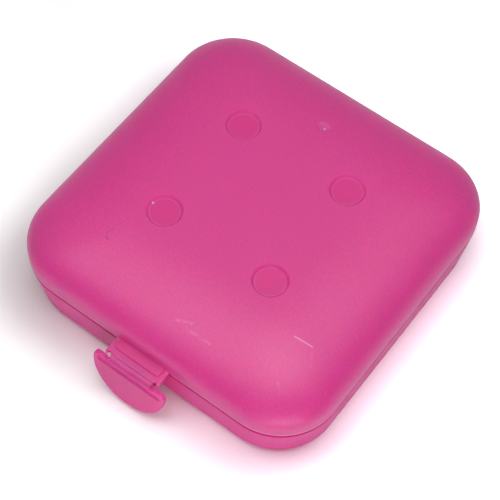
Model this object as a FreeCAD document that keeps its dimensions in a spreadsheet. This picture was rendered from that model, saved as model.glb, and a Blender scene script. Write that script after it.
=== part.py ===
import FreeCAD, Part
import math
import os
import Sketcher

# Bobbin box: a square pillow shaped snap box for four sewing machine bobbins.
# The base tray stands on z = 0 with the origin under its middle. The latch is at the front (-Y) and
# the living hinge at the back (+Y). All sizes are in millimetres and degrees.

doc = FreeCAD.newDocument("BobbinBox")

SIZES = [
    ("box_width", 62.0, "side of the square lid"),
    ("corner_radius", 11.0, "corner of the lid in plan"),
    ("parting_gap", 0.24, "slit between lid rim and base rim"),
    ("lid_height", 9.7, "parting plane to the crown"),
    ("lid_wall", 1.2, "lid shell"),
    ("skirt_height", 2.9, "straight part of the lid above the parting plane"),
    ("shoulder_reach", 16.5, "how far the shoulder curves in before the flat crown"),
    ("crown_radius", 3.0, "corner of the flat crown in plan"),
    ("lid_rim_round", 0.75, "rounding of the lid's lower outer edge"),
    ("base_depth", 9.8, "floor the box stands on to the parting plane"),
    ("base_rim_round", 0.15, "rounding of the base's upper outer edge"),
    ("base_inset", 0.1, "base rim behind the lid skirt"),
    ("base_draft", 0.85, "how far the base wall draws in from its rim to the turn of its foot"),
    ("base_wall_height", 7.7, "base wall below the parting plane"),
    ("base_corner", 11.0, "corner of the base wall in plan, where it turns under"),
    ("base_reach", 4.0, "how far the base turns under before its flat foot"),
    ("foot_radius", 8.0, "corner of the flat foot in plan"),
    ("floor_thickness", 1.2, "floor of the tray"),
    ("lip_height", 1.2, "lip that stands up inside the lid skirt"),
    ("lip_thickness", 0.8, "wall of that lip"),
    ("lip_clearance", 0.2, "lip to lid skirt"),
    ("bobbin_pitch", 22.0, "distance between neighbouring bobbins"),
    ("bobbin_diameter", 20.3, "flange of a bobbin"),
    ("bobbin_height", 11.6, "bobbin over both flanges"),
    ("bobbin_bore", 6.1, "bore of a bobbin"),
    ("bobbin_hub", 8.6, "core that the thread is wound on"),
    ("flange_thickness", 1.2, "flange of a bobbin"),
    ("flange_hole", 2.4, "round hole in a flange"),
    ("flange_hole_circle", 14.4, "circle that these holes lie on"),
    ("seat_gap", 0.1, "bobbin above the tray floor"),
    ("post_clearance", 0.1, "post to bobbin bore, on the radius"),
    ("post_height", 11.2, "post above the tray floor"),
    ("post_round", 0.8, "rounding of the post top"),
    ("post_core", 3.0, "core hole in a post, open below"),
    ("post_cap", 1.4, "plastic left above the core hole"),
    ("stud_diameter", 6.4, "stud under the crown, above each bobbin"),
    ("stud_gap", 0.4, "stud above the bobbin"),
    ("dimple_diameter", 6.4, "round dimple in the crown, at its edge"),
    ("dimple_depth", 0.5, "depth of that dimple"),
    ("dimple_slope", 45.0, "slope of its wall"),
    ("gate_offset", 19.6, "gate mark from the middle of the lid"),
    ("gate_sphere", 3.5, "radius of the gate mark's hollow"),
    ("gate_depth", 0.2, "depth of the gate mark"),
    ("tongue_width", 10.8, "latch tongue on the lid"),
    ("tongue_reach", 3.1, "tongue beyond the lid skirt"),
    ("tongue_thickness", 1.0, "tongue plate"),
    ("tongue_round", 0.25, "rounding of the tongue's upper front edge"),
    ("pad_width", 9.4, "raised pad on the tongue"),
    ("pad_reach", 1.9, "pad beyond the lid skirt"),
    ("pad_rise", 0.35, "pad above the tongue"),
    ("pad_round", 0.3, "rounding of the pad's edges"),
    ("pad_corner", 0.7, "outer corners of the pad in plan"),
    ("ledge_width", 8.6, "catch ledge on the base, below the tongue"),
    ("ledge_reach", 2.2, "catch ledge beyond the lid skirt"),
    ("ledge_thickness", 2.1, "catch ledge"),
    ("pivot_height", 0.1, "latch bend above the parting plane"),
    ("film_thickness", 0.35, "all living hinge films"),
    ("latch_bend", 0.3, "inside radius of the latch film"),
    ("latch_film_width", 8.6, "latch film along the tongue"),
    ("relief_radius", 0.45, "round relief at each end of the latch film"),
    ("flap_tilt", 10.0, "lean of the flap, outwards at its foot"),
    ("flap_radius", 7.4, "round outline of the flap"),
    ("flap_centre_drop", 1.6, "centre of that outline below the latch bend"),
    ("flap_corner", 1.0, "upper corners of the flap"),
    ("flap_face", 0.8, "outer face of the flap from the latch bend"),
    ("flap_thickness", 0.8, "flap plate"),
    ("flap_round", 0.2, "rounding of the flap's outer edges"),
    ("neck_drop", 0.15, "top of the flap below the latch bend"),
    ("bead_width", 8.2, "round bead along the top of the flap"),
    ("bead_radius", 0.25, "radius of that bead"),
    ("bead_rise", 0.2, "bead in front of the flap's face"),
    ("groove_width", 13.0, "finger groove below the bead"),
    ("groove_height", 1.3, "height of the finger groove"),
    ("groove_depth", 0.3, "depth of the finger groove"),
    ("hook_clearance", 0.15, "hook to catch ledge"),
    ("hook_height", 1.2, "hook on the inside of the flap"),
    ("hook_width", 7.6, "length of the hook along the flap"),
    ("hook_slope", 0.5, "how much the hook's foot is cut back"),
    ("hinge_spacing", 28.0, "middle to middle of the two back films"),
    ("hinge_width", 10.0, "one back film and its lugs"),
    ("hinge_reach", 0.9, "back hinge axis beyond the lid skirt"),
    ("hinge_bend", 0.25, "inside radius of a back film"),
    ("lug_thickness", 1.2, "lugs that carry the back films"),
]

sheet = doc.addObject("Spreadsheet::Sheet", "Sizes")
for row, (alias, amount, meaning) in enumerate(SIZES, start=1):
    sheet.set(f"A{row}", alias)
    sheet.set(f"B{row}", str(amount))
    sheet.setAlias(f"B{row}", alias)
    sheet.set(f"C{row}", meaning)
doc.recompute()

SHOULDER_STEPS = 6
FLANGE_HOLES = 6
SAME_PLACE = 1e-4

# Places that several pieces share, as formulas of the driving sizes.
LID_HALF = "Sizes.box_width / 2"
LID_RIM = "(Sizes.base_depth + Sizes.parting_gap / 2)"
BASE_RIM = "(Sizes.base_depth - Sizes.parting_gap / 2)"
CROWN = "(Sizes.base_depth + Sizes.lid_height)"
SKIRT_TOP = "(Sizes.base_depth + Sizes.skirt_height)"
LID_INNER_HALF = f"({LID_HALF} - Sizes.lid_wall)"
BASE_HALF = f"({LID_HALF} - Sizes.base_inset)"
TURN_HALF = f"({BASE_HALF} - Sizes.base_draft)"
LIP_HALF = f"({LID_INNER_HALF} - Sizes.lip_clearance)"
TRAY_HALF = f"({LIP_HALF} - Sizes.lip_thickness)"
TURN_UNDER = "(Sizes.base_depth - Sizes.base_wall_height)"
BOBBIN_FOOT = "(Sizes.floor_thickness + Sizes.seat_gap)"
POST_DIAMETER = "(Sizes.bobbin_bore - 2 * Sizes.post_clearance)"
TONGUE_END = f"({LID_HALF} + Sizes.tongue_reach)"
LEDGE_END = f"({LID_HALF} + Sizes.ledge_reach)"
PIVOT_Z = "(Sizes.base_depth + Sizes.pivot_height)"
HINGE_Y = f"({LID_HALF} + Sizes.hinge_reach)"
LUG_END = f"({HINGE_Y} - Sizes.hinge_bend - Sizes.film_thickness / 2)"
LATCH_BEND_OUTER = "(Sizes.latch_bend + Sizes.film_thickness)"
RELIEF_X = "(Sizes.latch_film_width / 2 + Sizes.relief_radius)"


def number(expression):
    found = sheet.evalExpression(expression)
    return float(getattr(found, "Value", found))


def new_body(name):
    body = doc.addObject("PartDesign::Body", name)
    body.Label = name
    return body


def own_plane(body, plane):
    return next(item for item in body.Origin.OriginFeatures if item.Role == plane)


def new_sketch(body, plane, name, offset=None):
    """Sketch on one of the body's own origin planes, moved along its normal by a formula."""
    sketch = body.newObject("Sketcher::SketchObject", name)
    sketch.AttachmentSupport = (own_plane(body, plane), [""])
    sketch.MapMode = "FlatFace"
    if offset is not None:
        sketch.setExpression("AttachmentOffset.Base.z", offset)
    return sketch


def bind(sketch, constraint, expression):
    """Add a dimension to a sketch and tie it to the sizes."""
    index = sketch.addConstraint(constraint)
    sketch.setExpression(f"Constraints[{index}]", expression)


def pin_point(sketch, geometry, end, axis, expression):
    """Hold one end of a line or arc at a place along the sketch's X or Y axis."""
    place = number(expression)
    kind = "Distance" + axis
    if abs(place) < SAME_PLACE:
        other_axis = -2 if axis == "X" else -1
        sketch.addConstraint(Sketcher.Constraint("PointOnObject", geometry, end, other_axis))
    elif place > 0:
        bind(sketch, Sketcher.Constraint(kind, -1, 1, geometry, end, place), expression)
    else:
        bind(sketch, Sketcher.Constraint(kind, geometry, end, -1, 1, -place), f"-({expression})")


def draw_polygon(sketch, corners):
    """Closed outline of straight lines; each corner is a pair of formulas."""
    points = [FreeCAD.Vector(number(x), number(y), 0) for x, y in corners]
    count = len(points)
    lines = []
    for index in range(count):
        segment = Part.LineSegment(points[index], points[(index + 1) % count])
        lines.append(sketch.addGeometry(segment))
    for index in range(count):
        after = lines[(index + 1) % count]
        sketch.addConstraint(Sketcher.Constraint("Coincident", lines[index], 2, after, 1))
    for line, (x, y) in zip(lines, corners):
        pin_point(sketch, line, 1, "X", x)
        pin_point(sketch, line, 1, "Y", y)


def draw_rectangle(sketch, left, right, low, high):
    draw_polygon(sketch, [(left, low), (right, low), (right, high), (left, high)])


def draw_rounded_square(sketch, half, radius):
    """Rounded square about the sketch's origin, four sides and four tangent corner arcs."""
    side = number(half)
    bend = number(radius)
    inner = side - bend
    first = sketch.GeometryCount
    for turn in range(4):
        spin = FreeCAD.Rotation(FreeCAD.Vector(0, 0, 1), 90 * turn)
        start = spin.multVec(FreeCAD.Vector(-inner, -side, 0))
        stop = spin.multVec(FreeCAD.Vector(inner, -side, 0))
        halfway = inner + bend * math.sqrt(0.5)
        middle = spin.multVec(FreeCAD.Vector(halfway, -halfway, 0))
        after = spin.multVec(FreeCAD.Vector(side, -inner, 0))
        sketch.addGeometry(Part.LineSegment(start, stop))
        sketch.addGeometry(Part.Arc(stop, middle, after))
    for index in range(8):
        here = first + index
        after = first + (index + 1) % 8
        sketch.addConstraint(Sketcher.Constraint("Tangent", here, 2, after, 1))
    bottom, right, top, left = (first, first + 2, first + 4, first + 6)
    for line in (bottom, top):
        sketch.addConstraint(Sketcher.Constraint("Horizontal", line))
    for line in (right, left):
        sketch.addConstraint(Sketcher.Constraint("Vertical", line))
    for corner in (first + 3, first + 5, first + 7):
        sketch.addConstraint(Sketcher.Constraint("Equal", first + 1, corner))
    bind(sketch, Sketcher.Constraint("Radius", first + 1, bend), radius)
    pin_point(sketch, right, 1, "X", half)
    pin_point(sketch, left, 1, "X", f"-({half})")
    pin_point(sketch, top, 1, "Y", half)
    pin_point(sketch, bottom, 1, "Y", f"-({half})")


def draw_circle(sketch, x, y, diameter):
    centre = FreeCAD.Vector(number(x), number(y), 0)
    axis = FreeCAD.Vector(0, 0, 1)
    circle = sketch.addGeometry(Part.Circle(centre, axis, number(diameter) / 2))
    bind(sketch, Sketcher.Constraint("Diameter", circle, number(diameter)), diameter)
    pin_point(sketch, circle, 3, "X", x)
    pin_point(sketch, circle, 3, "Y", y)


def draw_bobbin_circles(sketch, diameter):
    """One circle at each of the four bobbin places."""
    half_pitch = "Sizes.bobbin_pitch / 2"
    for x_sign in ("", "-"):
        for y_sign in ("", "-"):
            draw_circle(sketch, x_sign + half_pitch, y_sign + half_pitch, diameter)


def draw_film(sketch, inner_radius, start, stop):
    """Bent film in section: a ring sector about the sketch's origin between two angles."""
    outer_radius = f"({inner_radius} + Sizes.film_thickness)"
    arcs = []
    for radius in (inner_radius, outer_radius):
        circle = Part.Circle(FreeCAD.Vector(0, 0, 0), FreeCAD.Vector(0, 0, 1), number(radius))
        first_angle = math.radians(number(start))
        last_angle = math.radians(number(stop))
        arc = sketch.addGeometry(Part.ArcOfCircle(circle, first_angle, last_angle))
        sketch.addConstraint(Sketcher.Constraint("Coincident", arc, 3, -1, 1))
        bind(sketch, Sketcher.Constraint("Radius", arc, number(radius)), radius)
        arcs.append(arc)
    inner, outer = arcs
    for end, angle in ((1, start), (2, stop)):
        near = sketch.getPoint(inner, end)
        far = sketch.getPoint(outer, end)
        line = sketch.addGeometry(Part.LineSegment(near, far))
        sketch.addConstraint(Sketcher.Constraint("Coincident", line, 1, inner, end))
        sketch.addConstraint(Sketcher.Constraint("Coincident", line, 2, outer, end))
        sketch.addConstraint(Sketcher.Constraint("PointOnObject", -1, 1, line))
        if abs(number(f"cos({angle})")) < SAME_PLACE:
            pin_point(sketch, line, 2, "X", "0")
        else:
            pin_point(sketch, line, 2, "Y", f"{outer_radius} * sin({angle})")


def add_pad(body, name, sketch, length, symmetric=False, down=False):
    pad = body.newObject("PartDesign::Pad", name)
    pad.Profile = sketch
    pad.setExpression("Length", length)
    pad.SideType = "Symmetric" if symmetric else "One side"
    pad.Reversed = down
    doc.recompute()
    return pad


def add_pocket(body, name, sketch, length, up=False, symmetric=False):
    """Cut a sketch out of the body, and make sure that something was cut."""
    before = body.Shape.Volume
    pocket = body.newObject("PartDesign::Pocket", name)
    pocket.Profile = sketch
    pocket.setExpression("Length", length)
    pocket.SideType = "Symmetric" if symmetric else "One side"
    pocket.Reversed = up
    doc.recompute()
    if pocket.Shape.Volume > before - SAME_PLACE:
        raise RuntimeError(f"{name} cuts nothing")
    return pocket


def add_fillet(body, name, radius, wanted):
    """Round the edges of the body's tip that the wanted test picks out."""
    base = body.Tip
    names = [f"Edge{index}" for index, edge in enumerate(base.Shape.Edges, start=1) if wanted(edge)]
    fillet = body.newObject("PartDesign::Fillet", name)
    fillet.Base = (base, names)
    fillet.setExpression("Radius", radius)
    doc.recompute()
    return fillet


def add_pillow(body, kind, name, half, corner, last_corner, reach, start, rise):
    """Rounded shoulder: sections that draw in along a quarter ellipse while they rise by rise."""
    sections = []
    for step in range(SHOULDER_STEPS + 1):
        angle = f"{90 * step / SHOULDER_STEPS} deg"
        height = f"{start} + ({rise}) * sin({angle})"
        drawn_in = f"(1 - cos({angle}))"
        sketch = new_sketch(body, "XY_Plane", f"{name}Section{step}", height)
        section_half = f"{half} - ({reach}) * {drawn_in}"
        section_corner = f"({corner}) + (({last_corner}) - ({corner})) * {drawn_in}"
        draw_rounded_square(sketch, section_half, section_corner)
        sections.append(sketch)
    doc.recompute()
    loft = body.newObject(f"PartDesign::{kind}", name)
    loft.Profile = sections[0]
    loft.Sections = sections[1:]
    doc.recompute()
    return loft


def level_edge(height):
    """Test for edges that lie flat at one height."""
    def wanted(edge):
        box = edge.BoundBox
        return abs(box.ZMin - height) < SAME_PLACE and abs(box.ZMax - height) < SAME_PLACE
    return wanted


# Base tray: a shallow shell that draws in and turns under to a flat foot, with a lip inside the lid's skirt,
# a hollow post for each bobbin, the catch ledge of the latch and the lugs of the back films.
tray = new_body("base_tray")
wall_rim = new_sketch(tray, "XY_Plane", "WallRimOutline", BASE_RIM)
draw_rounded_square(wall_rim, BASE_HALF, "Sizes.corner_radius - Sizes.base_inset")
wall_turn = new_sketch(tray, "XY_Plane", "WallTurnOutline", TURN_UNDER)
draw_rounded_square(wall_turn, TURN_HALF, "Sizes.base_corner")
doc.recompute()
wall = tray.newObject("PartDesign::AdditiveLoft", "Wall")
wall.Profile = wall_rim
wall.Sections = [wall_turn]
wall.Ruled = True
doc.recompute()
add_fillet(tray, "WallRim", "Sizes.base_rim_round", level_edge(number(BASE_RIM)))
add_pillow(tray, "AdditiveLoft", "TurnUnder", TURN_HALF, "Sizes.base_corner",
           "Sizes.foot_radius", "Sizes.base_reach", TURN_UNDER, f"-{TURN_UNDER}")
tray_outline = new_sketch(tray, "XY_Plane", "TrayOutline", BASE_RIM)
TRAY_CORNER = f"(Sizes.corner_radius - {LID_HALF} + {TRAY_HALF})"
draw_rounded_square(tray_outline, TRAY_HALF, TRAY_CORNER)
add_pocket(tray, "TrayWell", tray_outline, f"{BASE_RIM} - {TURN_UNDER}")
add_pillow(tray, "SubtractiveLoft", "TrayFloor", TRAY_HALF, TRAY_CORNER,
           "Sizes.foot_radius", "Sizes.base_reach - Sizes.floor_thickness", TURN_UNDER,
           f"Sizes.floor_thickness - {TURN_UNDER}")
lip_outline = new_sketch(tray, "XY_Plane", "LipOutline", BASE_RIM)
draw_rounded_square(lip_outline, LIP_HALF, f"Sizes.corner_radius - {LID_HALF} + {LIP_HALF}")
draw_rounded_square(lip_outline, TRAY_HALF, TRAY_CORNER)
add_pad(tray, "Lip", lip_outline, f"{LID_RIM} - {BASE_RIM} + Sizes.lip_height")
post_outline = new_sketch(tray, "XY_Plane", "PostOutline", "Sizes.floor_thickness / 2")
draw_bobbin_circles(post_outline, POST_DIAMETER)
add_pad(tray, "Posts", post_outline, "Sizes.floor_thickness / 2 + Sizes.post_height")
add_fillet(tray, "PostTops", "Sizes.post_round",
           level_edge(number("Sizes.floor_thickness + Sizes.post_height")))
core_outline = new_sketch(tray, "XY_Plane", "CoreOutline")
draw_bobbin_circles(core_outline, "Sizes.post_core")
add_pocket(tray, "PostCores", core_outline,
           "Sizes.floor_thickness + Sizes.post_height - Sizes.post_cap", up=True)
ledge_outline = new_sketch(tray, "XY_Plane", "LedgeOutline", BASE_RIM)
draw_rectangle(ledge_outline, "-Sizes.ledge_width / 2", "Sizes.ledge_width / 2",
               f"-{LEDGE_END}", f"-({BASE_HALF} + {TRAY_HALF}) / 2")
add_pad(tray, "CatchLedge", ledge_outline, "Sizes.ledge_thickness", down=True)
for side, sign in (("Left", "-"), ("Right", "")):
    lug_outline = new_sketch(tray, "XY_Plane", f"BaseLug{side}Outline", BASE_RIM)
    lug_middle = f"{sign}Sizes.hinge_spacing / 2"
    draw_rectangle(lug_outline, f"{lug_middle} - Sizes.hinge_width / 2",
                   f"{lug_middle} + Sizes.hinge_width / 2",
                   f"({BASE_HALF} + {TRAY_HALF}) / 2", LUG_END)
    add_pad(tray, f"BaseLug{side}", lug_outline, "Sizes.lug_thickness", down=True)

# Lid: a straight skirt that rounds over into a flat crown. It carries a stud above each bobbin, a
# dimple over each stud, the gate mark, the latch tongue with its pad, and the upper hinge lugs.
lid = new_body("lid")
skirt_outline = new_sketch(lid, "XY_Plane", "SkirtOutline", LID_RIM)
draw_rounded_square(skirt_outline, LID_HALF, "Sizes.corner_radius")
add_pad(lid, "Skirt", skirt_outline, f"{SKIRT_TOP} - {LID_RIM}")
add_fillet(lid, "SkirtRim", "Sizes.lid_rim_round", level_edge(number(LID_RIM)))
add_pillow(lid, "AdditiveLoft", "Shoulder", LID_HALF, "Sizes.corner_radius", "Sizes.crown_radius",
           "Sizes.shoulder_reach", SKIRT_TOP, f"{CROWN} - {SKIRT_TOP}")
hollow_outline = new_sketch(lid, "XY_Plane", "HollowOutline", LID_RIM)
HOLLOW_CORNER = "(Sizes.corner_radius - Sizes.lid_wall)"
draw_rounded_square(hollow_outline, LID_INNER_HALF, HOLLOW_CORNER)
add_pocket(lid, "SkirtHollow", hollow_outline, f"{SKIRT_TOP} - {LID_RIM}", up=True)
add_pillow(lid, "SubtractiveLoft", "ShoulderHollow", LID_INNER_HALF, HOLLOW_CORNER,
           "Sizes.crown_radius", "Sizes.shoulder_reach", SKIRT_TOP,
           f"{CROWN} - {SKIRT_TOP} - Sizes.lid_wall")
STUD_END = f"({BOBBIN_FOOT} + Sizes.bobbin_height + Sizes.stud_gap)"
stud_outline = new_sketch(lid, "XY_Plane", "StudOutline", STUD_END)
draw_bobbin_circles(stud_outline, "Sizes.stud_diameter")
add_pad(lid, "Studs", stud_outline, f"{CROWN} - Sizes.lid_wall / 2 - {STUD_END}")
dimple_outline = new_sketch(lid, "XY_Plane", "DimpleOutline", CROWN)
draw_bobbin_circles(dimple_outline, "Sizes.dimple_diameter")
dimples = add_pocket(lid, "Dimples", dimple_outline, "Sizes.dimple_depth")
dimples.setExpression("TaperAngle", "-Sizes.dimple_slope")
gate = lid.newObject("PartDesign::SubtractiveSphere", "GateMark")
gate.setExpression("Radius", "Sizes.gate_sphere")
gate_share = f"(1 - ({LID_HALF} - Sizes.gate_offset) / Sizes.shoulder_reach)"
gate_surface = f"{SKIRT_TOP} + ({CROWN} - {SKIRT_TOP}) * sqrt(1 - {gate_share}^2)"
gate.setExpression("AttachmentOffset.Base.y", "Sizes.gate_offset")
gate.setExpression("AttachmentOffset.Base.z", f"{gate_surface} + Sizes.gate_sphere - Sizes.gate_depth")
gate.AttachmentSupport = (own_plane(lid, "XY_Plane"), [""])
gate.MapMode = "ObjectXY"
doc.recompute()
tongue_outline = new_sketch(lid, "XY_Plane", "TongueOutline", LID_RIM)
TONGUE_ROOT = f"-({LID_HALF} - Sizes.lid_wall / 2)"
draw_rectangle(tongue_outline, "-Sizes.tongue_width / 2", "Sizes.tongue_width / 2",
               f"-{TONGUE_END}", TONGUE_ROOT)
add_pad(lid, "Tongue", tongue_outline, "Sizes.tongue_thickness")
tongue_front = -number(TONGUE_END)
tongue_top = number(f"{LID_RIM} + Sizes.tongue_thickness")


def tongue_front_edge(edge):
    box = edge.BoundBox
    in_front = abs(box.YMin - tongue_front) < SAME_PLACE and abs(box.YMax - tongue_front) < SAME_PLACE
    return in_front and level_edge(tongue_top)(edge)


add_fillet(lid, "TongueEnd", "Sizes.tongue_round", tongue_front_edge)
relief_outline = new_sketch(lid, "XY_Plane", "TongueReliefOutline", LID_RIM)
for sign in ("", "-"):
    draw_circle(relief_outline, f"{sign}{RELIEF_X}", f"-{TONGUE_END}", "2 * Sizes.relief_radius")
add_pocket(lid, "TongueReliefs", relief_outline, "Sizes.tongue_thickness", up=True)
pad_outline = new_sketch(lid, "XY_Plane", "PadOutline", f"{LID_RIM} + Sizes.tongue_thickness / 2")
PAD_END = f"({LID_HALF} + Sizes.pad_reach)"
draw_rectangle(pad_outline, "-Sizes.pad_width / 2", "Sizes.pad_width / 2", f"-{PAD_END}", TONGUE_ROOT)
add_pad(lid, "TonguePad", pad_outline, "Sizes.tongue_thickness / 2 + Sizes.pad_rise")
pad_front = -number(PAD_END)
pad_top = number(f"{LID_RIM} + Sizes.tongue_thickness + Sizes.pad_rise")


def pad_corner_edge(edge):
    box = edge.BoundBox
    upright = box.XLength < SAME_PLACE and box.YLength < SAME_PLACE and abs(box.ZMax - pad_top) < SAME_PLACE
    return upright and abs(box.YMin - pad_front) < SAME_PLACE


def pad_top_edge(edge):
    box = edge.BoundBox
    return level_edge(pad_top)(edge) and box.YMin < -number(LID_HALF) - SAME_PLACE


add_fillet(lid, "PadCorners", "Sizes.pad_corner", pad_corner_edge)
add_fillet(lid, "PadTop", "Sizes.pad_round", pad_top_edge)
for side, sign in (("Left", "-"), ("Right", "")):
    lug_outline = new_sketch(lid, "XY_Plane", f"LidLug{side}Outline", LID_RIM)
    lug_middle = f"{sign}Sizes.hinge_spacing / 2"
    draw_rectangle(lug_outline, f"{lug_middle} - Sizes.hinge_width / 2",
                   f"{lug_middle} + Sizes.hinge_width / 2",
                   f"{LID_HALF} - Sizes.lid_wall / 2", LUG_END)
    add_pad(lid, f"LidLug{side}", lug_outline, "Sizes.lug_thickness")

# Back films: two thin strips that fold in a half circle from the base lugs to the lid lugs. The hinge axis
# runs through the middle of the fold.
films = []
for name, sign in (("hinge_film_left", "-"), ("hinge_film_right", "")):
    film = new_body(name)
    film.setExpression("Placement.Base.x", f"{sign}Sizes.hinge_spacing / 2")
    film.setExpression("Placement.Base.y", LUG_END)
    film.setExpression("Placement.Base.z", "Sizes.base_depth")
    fold = new_sketch(film, "YZ_Plane", f"{name}Fold")
    draw_film(fold, "Sizes.hinge_bend", "-90 deg", "90 deg")
    add_pad(film, f"{name}Strip", fold, "Sizes.hinge_width", symmetric=True)
    films.append(film)


def hang_on_latch(body):
    """Put a body's origin on the latch bend and lean it by the flap's tilt."""
    lean = FreeCAD.Rotation(FreeCAD.Vector(-1, 0, 0), number("Sizes.flap_tilt"))
    body.Placement = FreeCAD.Placement(FreeCAD.Vector(0, 0, 0), lean)
    body.setExpression("Placement.Base.y", f"-{TONGUE_END}")
    body.setExpression("Placement.Base.z", PIVOT_Z)
    body.setExpression("Placement.Rotation.Angle", "Sizes.flap_tilt * 1 deg")


# Latch film: the thin bend between the end of the tongue and the neck of the flap.
latch_film = new_body("latch_film")
hang_on_latch(latch_film)
latch_bend = new_sketch(latch_film, "YZ_Plane", "LatchBend")
draw_film(latch_bend, "Sizes.latch_bend", "90 deg + Sizes.flap_tilt * 1 deg", "180 deg")
add_pad(latch_film, "LatchStrip", latch_bend, "Sizes.latch_film_width", symmetric=True)
neck_land = new_sketch(latch_film, "YZ_Plane", "NeckLand")
draw_rectangle(neck_land, f"-{LATCH_BEND_OUTER}", "-Sizes.latch_bend", "-Sizes.neck_drop", "0")
add_pad(latch_film, "NeckEnd", neck_land, "Sizes.latch_film_width", symmetric=True)

# Latch flap: a half-moon thumb plate that hangs from the film and leans out at its foot. A round bead and
# a hollow finger groove run along its top, and a hook on its inside stands below the ledge.
flap = new_body("latch_flap")
hang_on_latch(flap)
plate_outline = new_sketch(flap, "XZ_Plane", "PlateOutline", "Sizes.flap_face - Sizes.flap_thickness")
plate_radius = number("Sizes.flap_radius")
plate_centre = FreeCAD.Vector(0, -number("Sizes.flap_centre_drop"), 0)
plate_top_height = -number("Sizes.neck_drop")
corner_reach = (plate_radius ** 2 - (plate_top_height - plate_centre.y) ** 2) ** 0.5
corner_left = FreeCAD.Vector(-corner_reach, plate_top_height, 0)
corner_right = FreeCAD.Vector(corner_reach, plate_top_height, 0)
plate_foot = plate_centre - FreeCAD.Vector(0, plate_radius, 0)
plate_arc = plate_outline.addGeometry(Part.Arc(corner_left, plate_foot, corner_right))
plate_top = plate_outline.addGeometry(Part.LineSegment(corner_right, corner_left))
plate_outline.addConstraint(Sketcher.Constraint("Coincident", plate_arc, 2, plate_top, 1))
plate_outline.addConstraint(Sketcher.Constraint("Coincident", plate_top, 2, plate_arc, 1))
plate_outline.addConstraint(Sketcher.Constraint("Horizontal", plate_top))
bind(plate_outline, Sketcher.Constraint("Radius", plate_arc, plate_radius), "Sizes.flap_radius")
pin_point(plate_outline, plate_arc, 3, "X", "0")
pin_point(plate_outline, plate_arc, 3, "Y", "-Sizes.flap_centre_drop")
pin_point(plate_outline, plate_top, 1, "Y", "-Sizes.neck_drop")
add_pad(flap, "Plate", plate_outline, "Sizes.flap_thickness")


def plate_corner_edge(edge):
    box = edge.BoundBox
    along_y = box.XLength < SAME_PLACE and box.ZLength < SAME_PLACE
    return along_y and abs(box.ZMax - plate_top_height) < SAME_PLACE


add_fillet(flap, "PlateCorners", "Sizes.flap_corner", plate_corner_edge)
face_y = -number("Sizes.flap_face")


def outer_face_edge(edge):
    box = edge.BoundBox
    return abs(box.YMin - face_y) < SAME_PLACE and abs(box.YMax - face_y) < SAME_PLACE


add_fillet(flap, "PlateRound", "Sizes.flap_round", outer_face_edge)
neck_relief = new_sketch(flap, "XZ_Plane", "NeckReliefOutline")
for sign in ("", "-"):
    draw_circle(neck_relief, f"{sign}{RELIEF_X}", "-Sizes.neck_drop", "2 * Sizes.relief_radius")
add_pocket(flap, "NeckReliefs", neck_relief, "4 * Sizes.flap_thickness", symmetric=True)
GROOVE_RADIUS = "((Sizes.groove_height^2 / 4 + Sizes.groove_depth^2) / (2 * Sizes.groove_depth))"
GROOVE_MIDDLE = "(Sizes.neck_drop + 2 * Sizes.bead_radius + Sizes.groove_height / 2)"
groove_outline = new_sketch(flap, "YZ_Plane", "GrooveOutline")
draw_circle(groove_outline, f"-(Sizes.flap_face + {GROOVE_RADIUS} - Sizes.groove_depth)",
            f"-{GROOVE_MIDDLE}", f"2 * {GROOVE_RADIUS}")
add_pocket(flap, "FingerGroove", groove_outline, "Sizes.groove_width", symmetric=True)
bead_outline = new_sketch(flap, "YZ_Plane", "BeadOutline")
draw_circle(bead_outline, "-(Sizes.flap_face + Sizes.bead_rise - Sizes.bead_radius)",
            "-(Sizes.neck_drop + Sizes.bead_radius)", "2 * Sizes.bead_radius")
add_pad(flap, "NeckBead", bead_outline, "Sizes.bead_width", symmetric=True)
# The hook's tip stays just outside the ledge's edge and just below its underside.
TIP_OUT = "(Sizes.tongue_reach - Sizes.ledge_reach - Sizes.hook_clearance)"
TIP_DOWN = "(Sizes.pivot_height + Sizes.parting_gap / 2 + Sizes.ledge_thickness + Sizes.hook_clearance)"
TILT_COS = "cos(Sizes.flap_tilt * 1 deg)"
TILT_SIN = "sin(Sizes.flap_tilt * 1 deg)"
HOOK_TIP = f"({TIP_OUT} * {TILT_COS} + {TIP_DOWN} * {TILT_SIN})"
HOOK_TOP = f"({TIP_OUT} * {TILT_SIN} - {TIP_DOWN} * {TILT_COS})"
HOOK_FOOT = f"({HOOK_TOP} - Sizes.hook_height)"
HOOK_ROOT = "(Sizes.flap_thickness / 2 - Sizes.flap_face)"
hook_outline = new_sketch(flap, "YZ_Plane", "HookOutline")
draw_polygon(hook_outline, [(HOOK_ROOT, HOOK_FOOT), (f"{HOOK_TIP} - Sizes.hook_slope", HOOK_FOOT),
                            (HOOK_TIP, f"{HOOK_TOP} - Sizes.hook_height / 2"), (HOOK_TIP, HOOK_TOP),
                            (HOOK_ROOT, HOOK_TOP)])
add_pad(flap, "Hook", hook_outline, "Sizes.hook_width", symmetric=True)

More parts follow.
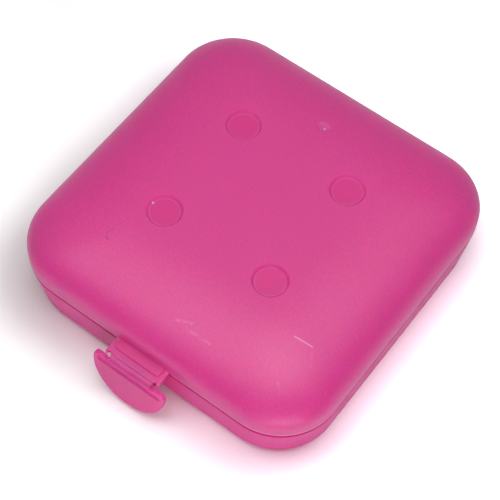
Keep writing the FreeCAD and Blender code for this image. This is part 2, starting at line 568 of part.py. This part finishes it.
# Bobbins: moulded spools, each with a bore that drops over its post and a ring of holes in the flanges.
bobbins = []
for name, x_sign, y_sign in (("bobbin_front_left", "-", "-"), ("bobbin_front_right", "", "-"),
                             ("bobbin_back_left", "-", ""), ("bobbin_back_right", "", "")):
    bobbin = new_body(name)
    bobbin.setExpression("Placement.Base.x", f"{x_sign}Sizes.bobbin_pitch / 2")
    bobbin.setExpression("Placement.Base.y", f"{y_sign}Sizes.bobbin_pitch / 2")
    bobbin.setExpression("Placement.Base.z", BOBBIN_FOOT)
    spool = new_sketch(bobbin, "XZ_Plane", f"{name}Section")
    bore, hub, rim = ("Sizes.bobbin_bore / 2", "Sizes.bobbin_hub / 2", "Sizes.bobbin_diameter / 2")
    upper_flange = "Sizes.bobbin_height - Sizes.flange_thickness"
    draw_polygon(spool, [(bore, "0"), (rim, "0"), (rim, "Sizes.flange_thickness"),
                         (hub, "Sizes.flange_thickness"), (hub, upper_flange), (rim, upper_flange),
                         (rim, "Sizes.bobbin_height"), (bore, "Sizes.bobbin_height")])
    turned = bobbin.newObject("PartDesign::Revolution", f"{name}Spool")
    turned.Profile = spool
    turned.ReferenceAxis = (spool, ["V_Axis"])
    turned.Angle = 360
    doc.recompute()
    hole_outline = new_sketch(bobbin, "XY_Plane", f"{name}HoleOutline")
    draw_circle(hole_outline, "Sizes.flange_hole_circle / 2", "0", "Sizes.flange_hole")
    hole = add_pocket(bobbin, f"{name}Hole", hole_outline, "Sizes.bobbin_height", up=True)
    ring = bobbin.newObject("PartDesign::PolarPattern", f"{name}Holes")
    ring.Originals = [hole]
    ring.Axis = (hole_outline, ["N_Axis"])
    ring.Angle = 360
    ring.Occurrences = FLANGE_HOLES
    bobbin.Tip = ring
    doc.recompute()
    bobbins.append(bobbin)

doc.recompute()
pieces = [tray, lid, *films, latch_film, flap, *bobbins]
for item in doc.Objects:
    if "Invalid" in item.State or "Error" in item.State:
        raise RuntimeError(f"{item.Label} failed: {item.State}")
for piece in pieces:
    if piece.Shape.isNull() or not piece.Shape.isValid() or len(piece.Shape.Solids) != 1:
        raise RuntimeError(f"{piece.Label} is not one valid solid")

os.makedirs("parts", exist_ok=True)
for piece in pieces:
    piece.Shape.exportStep(f"parts/{piece.Label}.step")
    print(f"{piece.Label}: {piece.Shape.Volume:.1f} mm3")
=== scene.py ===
import math

import bmesh
import bpy
from mathutils import Matrix, Vector


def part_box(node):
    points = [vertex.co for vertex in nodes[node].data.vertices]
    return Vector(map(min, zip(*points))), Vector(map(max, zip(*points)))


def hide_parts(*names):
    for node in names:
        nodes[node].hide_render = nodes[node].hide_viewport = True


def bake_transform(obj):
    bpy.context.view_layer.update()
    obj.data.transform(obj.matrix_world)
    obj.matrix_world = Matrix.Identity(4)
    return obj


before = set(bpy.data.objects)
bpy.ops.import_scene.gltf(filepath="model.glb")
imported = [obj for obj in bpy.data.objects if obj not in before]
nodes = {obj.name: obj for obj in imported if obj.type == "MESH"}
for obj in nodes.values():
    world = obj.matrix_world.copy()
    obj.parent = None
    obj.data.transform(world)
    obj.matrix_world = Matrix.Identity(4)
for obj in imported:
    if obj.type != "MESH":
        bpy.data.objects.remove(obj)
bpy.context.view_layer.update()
mm = 0.001

# Base tray: the lower half of one polypropylene moulding, frosted by a fine spark texture in the mould.
# The pink pigment is thin, so light sinks in, scatters inside the wall and leaves with a deeper colour.
# It is one shell with its posts, lip, catch ledge and hinge lugs, so the moulded node itself is shown.


def object_place(tree):
    """Socket of the point on the piece, in metres."""
    return tree.nodes.new("ShaderNodeTexCoord").outputs["Object"]


def noise(tree, place, scale, detail, roughness=0.5):
    """Socket of a noise between 0 and 1, with scale waves to the metre."""
    clouds = tree.nodes.new("ShaderNodeTexNoise")
    clouds.inputs["Scale"].default_value = scale
    clouds.inputs["Detail"].default_value = detail
    clouds.inputs["Roughness"].default_value = roughness
    tree.links.new(place, clouds.inputs["Vector"])
    return clouds.outputs["Fac"]


def grade(tree, value, low, high, at_low=0.0, at_high=1.0, smooth=False):
    """Socket that runs from at_low to at_high while the value runs from low to high, and holds beyond."""
    slope = tree.nodes.new("ShaderNodeMapRange")
    slope.interpolation_type = "SMOOTHSTEP" if smooth else "LINEAR"
    slope.inputs["From Min"].default_value = low
    slope.inputs["From Max"].default_value = high
    slope.inputs["To Min"].default_value = at_low
    slope.inputs["To Max"].default_value = at_high
    tree.links.new(value, slope.inputs["Value"])
    return slope.outputs["Result"]


def feed(tree, term, socket):
    """Give a socket its term: a link where the term is a socket, a plain value where it is not."""
    if isinstance(term, bpy.types.NodeSocket):
        tree.links.new(term, socket)
    else:
        socket.default_value = term


def scaled(tree, vector, amount):
    """Socket of a vector or colour times an amount."""
    product = tree.nodes.new("ShaderNodeVectorMath")
    product.operation = "SCALE"
    feed(tree, vector, product.inputs[0])
    tree.links.new(amount, product.inputs["Scale"])
    return product.outputs["Vector"]


def part_of(tree, vector, axis):
    """Socket of one part of a vector, named by its axis."""
    parts = tree.nodes.new("ShaderNodeSeparateXYZ")
    tree.links.new(vector, parts.inputs["Vector"])
    return parts.outputs[axis]


def frosted_plastic(name, tint, depth, sheen):
    """Satin translucent polypropylene: a scattering pink body, soft gloss and a fine moulded grain.

    depth is how far red light travels inside the wall, and sheen is the strength of its gloss.
    """
    material = bpy.data.materials.new(name)
    material.use_nodes = True
    tree = material.node_tree
    shader = tree.nodes["Principled BSDF"]
    place = object_place(tree)
    shader.inputs["IOR"].default_value = 1.49
    shader.inputs["Specular IOR Level"].default_value = sheen
    shader.inputs["Subsurface Weight"].default_value = 1.0
    shader.inputs["Subsurface Radius"].default_value = (1.0, 0.3, 0.55)
    shader.inputs["Subsurface Scale"].default_value = depth

    # Pigment that flowed unevenly leaves broad, faint clouds in the colour.
    shade = tree.nodes.new("ShaderNodeMix")
    shade.data_type = "RGBA"
    shade.inputs["A"].default_value = (tint[0] * 0.97, tint[1] * 0.93, tint[2] * 0.95, 1.0)
    shade.inputs["B"].default_value = (tint[0] * 1.03, tint[1] * 1.07, tint[2] * 1.05, 1.0)
    tree.links.new(noise(tree, place, scale=90.0, detail=3.0), shade.inputs["Factor"])

    # The spark texture of the mould: pits a fifth of a millimetre apart, in colour, gloss and height.
    grain = noise(tree, place, scale=4200.0, detail=2.0)
    speck = grade(tree, grain, 0.3, 0.7, at_low=0.9, at_high=1.1)
    tree.links.new(scaled(tree, shade.outputs["Result"], speck), shader.inputs["Base Color"])
    gloss = grade(tree, grain, 0.0, 1.0, at_low=0.34, at_high=0.5)
    tree.links.new(gloss, shader.inputs["Roughness"])
    pits = tree.nodes.new("ShaderNodeBump")
    pits.inputs["Strength"].default_value = 0.35
    pits.inputs["Distance"].default_value = 0.03 * mm
    tree.links.new(grain, pits.inputs["Height"])
    tree.links.new(pits.outputs["Normal"], shader.inputs["Normal"])
    return material


def paint(tree, mask, colour):
    """Lay a colour over the base colour where the mask is above 0."""
    base_colour = tree.nodes["Principled BSDF"].inputs["Base Color"]
    coat = tree.nodes.new("ShaderNodeMix")
    coat.data_type = "RGBA"
    coat.inputs["B"].default_value = (*colour, 1.0)
    tree.links.new(base_colour.links[0].from_socket, coat.inputs["A"])
    tree.links.new(mask, coat.inputs["Factor"])
    tree.links.new(coat.outputs["Result"], base_colour)


def dress(node, material):
    """Give a moulded node one material in place of the plain one it came with."""
    mesh = nodes[node].data
    mesh.materials.clear()
    mesh.materials.append(material)


PINK = (0.87, 0.057, 0.335)
WALL_DEPTH = 2.4 * mm
BASE_SHEEN = 0.3
base_plastic = frosted_plastic("base_frosted_pink", PINK, WALL_DEPTH, BASE_SHEEN)
base_tree = base_plastic.node_tree

# Painted shade: the lid shades the top of the wall, so the top of the wall is painted a deeper pink, as
# if only light that has run through the plastic showed there.
SHADE_FOOT = 8.9 * mm
SHADE_TOP = 9.3 * mm
WALL_SHADE_PINK = (0.74, 0.01, 0.2)
base_height = part_of(base_tree, object_place(base_tree), "Z")
paint(base_tree, grade(base_tree, base_height, SHADE_FOOT, SHADE_TOP, at_high=0.75), WALL_SHADE_PINK)
dress("base_tray", base_plastic)

# Bobbins: clear moulded polystyrene spools, dropped over the four posts with a running fit.
# Injection moulded in two halves and bonded, so they are glossy with faint flow marks.
clear_plastic = bpy.data.materials.new("bobbin_clear")
clear_plastic.use_nodes = True
clear_tree = clear_plastic.node_tree
clear_shader = clear_tree.nodes["Principled BSDF"]
clear_shader.inputs["Base Color"].default_value = (0.95, 0.97, 0.98, 1.0)
clear_shader.inputs["IOR"].default_value = 1.59
clear_shader.inputs["Transmission Weight"].default_value = 0.82
flow = noise(clear_tree, object_place(clear_tree), scale=300.0, detail=2.0)
flow_gloss = grade(clear_tree, flow, 0.0, 1.0, at_low=0.05, at_high=0.16)
clear_tree.links.new(flow_gloss, clear_shader.inputs["Roughness"])
for bobbin in ("bobbin_front_left", "bobbin_front_right", "bobbin_back_left", "bobbin_back_right"):
    dress(bobbin, clear_plastic)

# Back hinge films: two thin strips of the same shot of plastic that join base and lid behind the box.
# The real strips fold in a half circle when it is shut and lie flat when it is open; here they are built
# folded, as when shut, and are paler where they bend.


def folded_strip(name, low, high, centre, inner, thickness, start, sweep, land):
    """Thin strip across X that follows a round fold about centre and ends in a short flat land."""
    shape = bmesh.new()
    up_start = Vector((0.0, math.cos(start), math.sin(start)))
    corners = []
    for x, radius in ((low, inner), (high, inner), (high, inner + thickness), (low, inner + thickness)):
        corners.append(shape.verts.new(centre + Vector((x, 0.0, 0.0)) + radius * up_start))
    section = shape.faces.new(corners)
    fold_steps = 16
    swept = bmesh.ops.spin(shape, geom=[section], cent=centre, axis=(1.0, 0.0, 0.0), angle=sweep,
                           steps=fold_steps, use_duplicate=False)
    if land > 0.0:
        last = [item for item in swept["geom_last"] if isinstance(item, bmesh.types.BMFace)]
        drawn = bmesh.ops.extrude_face_region(shape, geom=last)
        along = Vector((0.0, -math.sin(start + sweep), math.cos(start + sweep)))
        moved = [item for item in drawn["geom"] if isinstance(item, bmesh.types.BMVert)]
        bmesh.ops.translate(shape, vec=land * along, verts=moved)
        bmesh.ops.delete(shape, geom=last, context="FACES_ONLY")
    bmesh.ops.holes_fill(shape, edges=[edge for edge in shape.edges if edge.is_boundary])
    bmesh.ops.recalc_face_normals(shape, faces=shape.faces)
    mesh = bpy.data.meshes.new(name)
    for face in shape.faces:
        face.smooth = True
    shape.to_mesh(mesh)
    shape.free()
    sharpest_bend = math.radians(40.0)
    mesh.set_sharp_from_angle(angle=sharpest_bend)
    strip = bpy.data.objects.new(name, mesh)
    bpy.context.scene.collection.objects.link(strip)
    return strip


FILM_PINK = (0.84, 0.075, 0.34)
FILM_DEPTH = 0.6 * mm
FILM_SHEEN = 0.5
FILM_THICKNESS = 0.35 * mm
film_plastic = frosted_plastic("film_frosted_pink", FILM_PINK, FILM_DEPTH, FILM_SHEEN)
for side in ("left", "right"):
    low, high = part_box(f"hinge_film_{side}")
    fold_outer = (high[2] - low[2]) / 2
    fold_centre = Vector((0.0, low[1], (low[2] + high[2]) / 2))
    film = folded_strip(f"back_film_{side}", low[0], high[0], fold_centre, fold_outer - FILM_THICKNESS,
                        FILM_THICKNESS, -math.pi / 2, math.pi, 0.0)
    film.data.materials.append(film_plastic)
    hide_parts(f"hinge_film_{side}")
    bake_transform(film)

# Lid: the upper half of the same moulding, a pillow shaped shell with dimples over the bobbin posts,
# the gate mark and the latch tongue. Handling has left scuffs and a few scratches on its front shoulder.


def vector_step(tree, operation, first, second=(0.0, 0.0, 0.0)):
    """Node that works out one vector from another, or from two."""
    step = tree.nodes.new("ShaderNodeVectorMath")
    step.operation = operation
    tree.links.new(first, step.inputs[0])
    feed(tree, second, step.inputs[1])
    return step


def number_step(tree, operation, first, second=0.0):
    """Socket of a number worked out from another, or from two."""
    step = tree.nodes.new("ShaderNodeMath")
    step.operation = operation
    tree.links.new(first, step.inputs[0])
    feed(tree, second, step.inputs[1])
    return step.outputs[0]


def spot_mask(tree, place, centre, radius, edge):
    """Socket that is 1 inside a round spot, seen from above, and fades to 0 over edge."""
    away = vector_step(tree, "SUBTRACT", place, (centre[0], centre[1], 0.0))
    reach = vector_step(tree, "LENGTH", away.outputs["Vector"])
    return grade(tree, reach.outputs["Value"], radius, radius + edge, 1.0, 0.0, smooth=True)


def scratch_mask(tree, place, start, end, half_width):
    """Socket that is 1 along a straight scratch, seen from above, and fades to 0 across half_width."""
    start = Vector((start[0], start[1], 0.0))
    run = Vector((end[0], end[1], 0.0)) - start
    away = vector_step(tree, "SUBTRACT", place, start)
    along = vector_step(tree, "DOT_PRODUCT", away.outputs["Vector"], run.normalized())
    held = grade(tree, along.outputs["Value"], 0.0, run.length, 0.0, run.length)
    foot = scaled(tree, run.normalized(), held)
    gap = vector_step(tree, "DISTANCE", away.outputs["Vector"], foot)
    return grade(tree, gap.outputs["Value"], 0.3 * half_width, half_width, 1.0, 0.0)


LID_SHEEN = 0.55
lid_plastic = frosted_plastic("lid_frosted_pink", PINK, WALL_DEPTH, LID_SHEEN)
lid_tree = lid_plastic.node_tree
lid_place = object_place(lid_tree)
lid_depth = part_of(lid_tree, lid_place, "Y")
lid_height = part_of(lid_tree, lid_place, "Z")
from_above = vector_step(lid_tree, "MULTIPLY", lid_place, (1.0, 1.0, 0.0)).outputs["Vector"]
lid_normal = lid_tree.nodes.new("ShaderNodeTexCoord").outputs["Normal"]
outside = grade(lid_tree, part_of(lid_tree, lid_normal, "Z"), 0.1, 0.3)


def mark(mask, strength, colour):
    """Lay a colour over the outer side of the lid where the mask is above 0."""
    outer_mask = number_step(lid_tree, "MULTIPLY", mask, outside)
    paint(lid_tree, number_step(lid_tree, "MULTIPLY", outer_mask, strength), colour)


# Painted highlight: a pale line is painted round the lid where its lower rim turns in, standing for the
# gloss on that rounded edge.
RIM_TURN = 10.8 * mm
RIM_HIGHLIGHT_AND_SCRATCH_PINK = (0.98, 0.3, 0.6)
LINE_CORE = 0.1 * mm
LINE_REACH = 0.3 * mm
rim_gap = number_step(lid_tree, "ABSOLUTE", number_step(lid_tree, "SUBTRACT", lid_height, RIM_TURN))
paint(lid_tree, grade(lid_tree, rim_gap, LINE_CORE, LINE_REACH, at_low=0.55, at_high=0.0), RIM_HIGHLIGHT_AND_SCRATCH_PINK)

# The dimples were formed by pins in the mould. Painted shade and highlight: their floors are painted a
# little deeper pink as shade in the hollows, and a pale line painted round each floor stands for the
# highlight on its edge.
DIMPLE_PLACE = (11.0 * mm, 11.0 * mm)
DIMPLE_FLOOR = 2.5 * mm
DIMPLE_EDGE = 0.4 * mm
DIMPLE_SHADE_PINK = (0.78, 0.032, 0.29)
EDGE_HIGHLIGHT_WIDTH = 0.2 * mm
EDGE_HIGHLIGHT_SOFTNESS = 0.12 * mm
EDGE_HIGHLIGHT_PINK = (0.97, 0.25, 0.6)
quarter = vector_step(lid_tree, "ABSOLUTE", from_above).outputs["Vector"]
dimple_shade = spot_mask(lid_tree, quarter, DIMPLE_PLACE, DIMPLE_FLOOR, DIMPLE_EDGE)
mark(dimple_shade, strength=0.75, colour=DIMPLE_SHADE_PINK)
highlight_outer = spot_mask(lid_tree, quarter, DIMPLE_PLACE, DIMPLE_FLOOR + EDGE_HIGHLIGHT_WIDTH, EDGE_HIGHLIGHT_SOFTNESS)
highlight_inner = spot_mask(lid_tree, quarter, DIMPLE_PLACE, DIMPLE_FLOOR, EDGE_HIGHLIGHT_SOFTNESS)
edge_highlight = number_step(lid_tree, "SUBTRACT", highlight_outer, highlight_inner)
mark(edge_highlight, strength=0.35, colour=EDGE_HIGHLIGHT_PINK)

# The gate mark: a paler ring of stress where the plastic was cut off, with a painted highlight in it: a
# small bright glint.
SCUFF_PINK = (0.95, 0.5, 0.75)
GLINT_WHITE = (0.97, 0.85, 0.92)
RING_PLACE = (0.2 * mm, 19.5 * mm)
GLINT_PLACE = (0.5 * mm, 19.1 * mm)
gate_ring = spot_mask(lid_tree, from_above, RING_PLACE, radius=0.5 * mm, edge=1.0 * mm)
mark(gate_ring, strength=0.08, colour=SCUFF_PINK)
gate_glint = spot_mask(lid_tree, from_above, GLINT_PLACE, radius=0.1 * mm, edge=0.12 * mm)
mark(gate_glint, strength=0.8, colour=GLINT_WHITE)

# Scuffs: pale speckles that grow denser down the front shoulder.
SHOULDER_TOP = -14.0 * mm
SHOULDER_FOOT = -24.0 * mm
scuff = noise(lid_tree, lid_place, scale=2600.0, detail=4.0, roughness=0.7)
speckle = grade(lid_tree, scuff, 0.54, 0.7)
shoulder = grade(lid_tree, lid_depth, SHOULDER_TOP, SHOULDER_FOOT)
mark(number_step(lid_tree, "MULTIPLY", speckle, shoulder), strength=0.09, colour=SCUFF_PINK)

# Scratches: one clean cut with a faint tail, and broken drag marks above the latch.
CUT_START = (20.1 * mm, -16.7 * mm)
CUT_END = (23.2 * mm, -16.25 * mm)
DRAG_PINK = (0.98, 0.2, 0.52)
cut = scratch_mask(lid_tree, from_above, CUT_START, CUT_END, half_width=0.17 * mm)
mark(cut, strength=1.0, colour=RIM_HIGHLIGHT_AND_SCRATCH_PINK)
broken = grade(lid_tree, scuff, 0.42, 0.6)
for start, end, half_width, strength in (
    ((23.45, -16.5), (25.0, -19.0), 0.3, 0.3),
    ((2.6, -25.4), (5.3, -24.5), 0.3, 0.8),
    ((5.1, -25.6), (9.6, -25.5), 0.4, 0.7),
    ((22.3, -24.2), (23.6, -25.5), 0.25, 0.4),
):
    drag = scratch_mask(lid_tree, from_above, Vector(start) * mm, Vector(end) * mm, half_width * mm)
    mark(number_step(lid_tree, "MULTIPLY", drag, broken), strength, DRAG_PINK)

# A small bright white spot beside one dimple, and dirt: a dark speck with a hair's mark on the left
# shoulder.
SPOT_PLACE = (-13.67 * mm, -10.77 * mm)
SPOT_WHITE = (0.98, 0.9, 0.95)
HAIR_BROWN = (0.3, 0.03, 0.13)
white_spot = spot_mask(lid_tree, from_above, SPOT_PLACE, radius=0.1 * mm, edge=0.14 * mm)
mark(white_spot, strength=0.9, colour=SPOT_WHITE)
for start, end, half_width, strength in (
    ((-15.8, -20.65), (-15.25, -20.8), 0.22, 0.55),
    ((-16.0, -20.3), (-16.1, -19.75), 0.12, 0.3),
    ((-16.1, -19.75), (-15.7, -18.85), 0.12, 0.3),
):
    hair = scratch_mask(lid_tree, from_above, Vector(start) * mm, Vector(end) * mm, half_width * mm)
    mark(hair, strength, HAIR_BROWN)

# Painted shade: the tongue at the front is solid rather than a shell, and it is painted a deeper pink,
# darker than the light on it leaves it.
TONGUE_ROOT = -30.9 * mm
TONGUE_FREE = -31.6 * mm
TONGUE_SHADE_PINK = (0.69, 0.036, 0.275)
mark(grade(lid_tree, lid_depth, TONGUE_ROOT, TONGUE_FREE), strength=0.85, colour=TONGUE_SHADE_PINK)
dress("lid", lid_plastic)

# Latch film: the thin bend at the end of the lid's tongue that the thumb flap hangs from.
# It is the same plastic, thinned in the mould, and turns down to meet the top of the flap.
FLAP_LEAN = math.radians(10.0)
LATCH_BEND = 0.3 * mm
NECK_LAND = 0.15 * mm
low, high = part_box("latch_film")
latch_outer = LATCH_BEND + FILM_THICKNESS
latch_centre = Vector((0.0, high[1], high[2] - latch_outer))
latch_film = folded_strip("latch_bend", low[0], high[0], latch_centre, LATCH_BEND, FILM_THICKNESS,
                          math.pi / 2, math.pi / 2 - FLAP_LEAN, NECK_LAND)
latch_film.data.materials.append(film_plastic)
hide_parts("latch_film")
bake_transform(latch_film)

# Latch flap: the thumb plate of the latch, moulded with the lid and hung from it by the thin film.
# Its rounded bead, finger groove and inner hook are all in the moulded node, which is shown as it is.
FLAP_SHEEN = 0.45
flap_plastic = frosted_plastic("flap_frosted_pink", PINK, WALL_DEPTH, FLAP_SHEEN)
dress("latch_flap", flap_plastic)

# Camera: held by hand above the front right corner and turned a little, so the box stands askew.
# It looks at the middle of the parting line, slightly off the centre of the picture.
AZIMUTH = math.radians(34.879)
ELEVATION = math.radians(59.782)
ROLL = math.radians(2.244)
DISTANCE = 262.48 * mm
SHIFT_SIDE = 0.923 * mm
SHIFT_RISE = 3.5 * mm
PARTING_HEIGHT = 9.8 * mm
target = Vector((0.0, 0.0, PARTING_HEIGHT))
back = Vector((math.sin(AZIMUTH) * math.cos(ELEVATION), -math.cos(AZIMUTH) * math.cos(ELEVATION),
               math.sin(ELEVATION)))
level = Vector((math.cos(AZIMUTH), math.sin(AZIMUTH), 0.0))
upward = back.cross(level)
side = math.cos(ROLL) * level + math.sin(ROLL) * upward
rise = math.cos(ROLL) * upward - math.sin(ROLL) * level
eye = target + DISTANCE * back - SHIFT_SIDE * side - SHIFT_RISE * rise
camera_data = bpy.data.cameras.new("camera")
camera_data.sensor_width = 36.0
camera_data.lens = 108.72
camera_data.clip_start = 0.01
camera_data.clip_end = 10.0
camera = bpy.data.objects.new("camera", camera_data)
turn = Matrix((side, rise, back)).transposed()
camera.matrix_world = Matrix.Translation(eye) @ turn.to_4x4()
bpy.context.scene.collection.objects.link(camera)
bpy.context.scene.camera = camera

# Floor: a sheet of plain white paper, laid flat. The picture is exposed for the box, so the paper in it
# is bleached, while the light that it throws back on the box is only what it really receives.
PAPER_HALF = 600.0 * mm
floor_mesh = bpy.data.meshes.new("floor")
floor_shape = bmesh.new()
bmesh.ops.create_grid(floor_shape, x_segments=1, y_segments=1, size=PAPER_HALF)
floor_shape.to_mesh(floor_mesh)
floor_shape.free()
floor = bpy.data.objects.new("floor", floor_mesh)
bpy.context.scene.collection.objects.link(floor)
paper = bpy.data.materials.new("paper")
paper.use_nodes = True
paper_tree = paper.node_tree
paper_shader = paper_tree.nodes["Principled BSDF"]
paper_shader.inputs["Base Color"].default_value = (0.93, 0.93, 0.93, 1.0)
paper_shader.inputs["Roughness"].default_value = 0.9
paper_shader.inputs["Specular IOR Level"].default_value = 0.1
paper_place = object_place(paper_tree)
paper_rays = paper_tree.nodes.new("ShaderNodeLightPath").outputs

# Camera, mirror and see-through rays find the paper lifted to white by its distance from a square core
# under the box. The core lies a little to the left, because the paper's shade does.
CORE_HALF = (20.0 * mm, 20.0 * mm, 0.0)
CORE_ASIDE = (2.5 * mm, 0.7 * mm, 0.0)
SHADE_END = 12.5 * mm
WHITE_START = 22.0 * mm
FAR_START = 30.0 * mm
FAR_END = 260.0 * mm
aside = vector_step(paper_tree, "ADD", paper_place, CORE_ASIDE)
folded = vector_step(paper_tree, "ABSOLUTE", aside.outputs["Vector"])
beyond = vector_step(paper_tree, "SUBTRACT", folded.outputs["Vector"], CORE_HALF)
past = vector_step(paper_tree, "MAXIMUM", beyond.outputs["Vector"], (0.0, 0.0, 0.0))
reach = vector_step(paper_tree, "LENGTH", past.outputs["Vector"]).outputs["Value"]
near_lift = grade(paper_tree, reach, SHADE_END, WHITE_START, at_high=0.38, smooth=True)
far_lift = grade(paper_tree, reach, FAR_START, FAR_END, at_high=0.75)
lift = number_step(paper_tree, "ADD", near_lift, far_lift)
lifted_rays = paper_rays["Is Camera Ray"]
for kind in ("Is Glossy Ray", "Is Transmission Ray"):
    lifted_rays = number_step(paper_tree, "MAXIMUM", lifted_rays, paper_rays[kind])
lift_seen = number_step(paper_tree, "MULTIPLY", lift, lifted_rays)
paper_shader.inputs["Emission Color"].default_value = (1.0, 1.0, 1.0, 1.0)
paper_tree.links.new(lift_seen, paper_shader.inputs["Emission Strength"])

# To the camera alone the paper also throws back more light than it receives. This grows across the
# sheet, from nothing at the front left to its full amount at the back right, so the front left keeps a
# painted shade; its lilac tint is a painted pink glow from the box.
BLEACH_AND_GLOW = (0.6, 0.55, 0.64)
BLEACH_RUN = (1.0, 0.8, 0.0)
BLEACH_START = -45.0 * mm
BLEACH_FULL = 22.0 * mm
across = vector_step(paper_tree, "DOT_PRODUCT", paper_place, BLEACH_RUN).outputs["Value"]
bleach_and_shade = scaled(paper_tree, BLEACH_AND_GLOW, grade(paper_tree, across, BLEACH_START, BLEACH_FULL))
bleached = paper_tree.nodes.new("ShaderNodeBsdfDiffuse")
paper_tree.links.new(scaled(paper_tree, bleach_and_shade, paper_rays["Is Camera Ray"]), bleached.inputs["Color"])
both = paper_tree.nodes.new("ShaderNodeAddShader")
paper_tree.links.new(paper_shader.outputs["BSDF"], both.inputs[0])
paper_tree.links.new(bleached.outputs["BSDF"], both.inputs[1])
paper_tree.links.new(both.outputs["Shader"], paper_tree.nodes["Material Output"].inputs["Surface"])
floor_mesh.materials.append(paper)

# Light: a dim white room and five soft boxes around the table, one of them overhead.
# The camera finds the room white, and gloss and clear plastic show a pale wall at its back left.
PALE_WALL = (-0.57, 0.82, 0.0)
world = bpy.data.worlds.new("studio")
bpy.context.scene.world = world
world.use_nodes = True
sky_tree = world.node_tree
sky = sky_tree.nodes["Background"]
sky.inputs["Color"].default_value = (1.0, 1.0, 1.0, 1.0)
sky_place = sky_tree.nodes.new("ShaderNodeTexCoord").outputs["Generated"]
sky_rays = sky_tree.nodes.new("ShaderNodeLightPath").outputs
room = grade(sky_tree, part_of(sky_tree, sky_place, "Z"), 0.0, 1.0, at_low=0.02, at_high=0.05)
wall_side = vector_step(sky_tree, "DOT_PRODUCT", sky_place, PALE_WALL).outputs["Value"]
wall_level = grade(sky_tree, wall_side, -0.45, 0.3, at_low=0.08, at_high=0.44)
wall_rays = number_step(sky_tree, "MAXIMUM", sky_rays["Is Glossy Ray"], sky_rays["Is Transmission Ray"])
wall_seen = number_step(sky_tree, "MULTIPLY", wall_level, wall_rays)
room_or_wall = number_step(sky_tree, "MAXIMUM", room, wall_seen)
sky_level = number_step(sky_tree, "MAXIMUM", room_or_wall, sky_rays["Is Camera Ray"])
sky_tree.links.new(sky_level, sky.inputs["Strength"])


def soft_box(name, place, width, watts):
    """Round soft box at place, turned to the middle of the bobbin box."""
    lamp_data = bpy.data.lights.new(name, "AREA")
    lamp_data.shape = "DISK"
    lamp_data.size = width
    lamp_data.energy = watts
    lamp = bpy.data.objects.new(name, lamp_data)
    lamp.location = place
    middle = Vector((0.0, 0.0, 10.0 * mm))
    lamp.rotation_euler = (place - middle).to_track_quat("Z", "Y").to_euler()
    lamp.visible_camera = False
    bpy.context.scene.collection.objects.link(lamp)


soft_box("overhead", Vector((25.0, -10.0, 300.0)) * mm, 200.0 * mm, 0.41)
soft_box("right", Vector((75.0, 45.0, 150.0)) * mm, 100.0 * mm, 0.037)
soft_box("left", Vector((-45.0, -75.0, 150.0)) * mm, 100.0 * mm, 0.058)
soft_box("back", Vector((-60.0, 110.0, 150.0)) * mm, 140.0 * mm, 0.012)
soft_box("front", Vector((135.0, -155.0, 28.0)) * mm, 140.0 * mm, 0.17)

bpy.context.scene.view_settings.view_transform = "Standard"
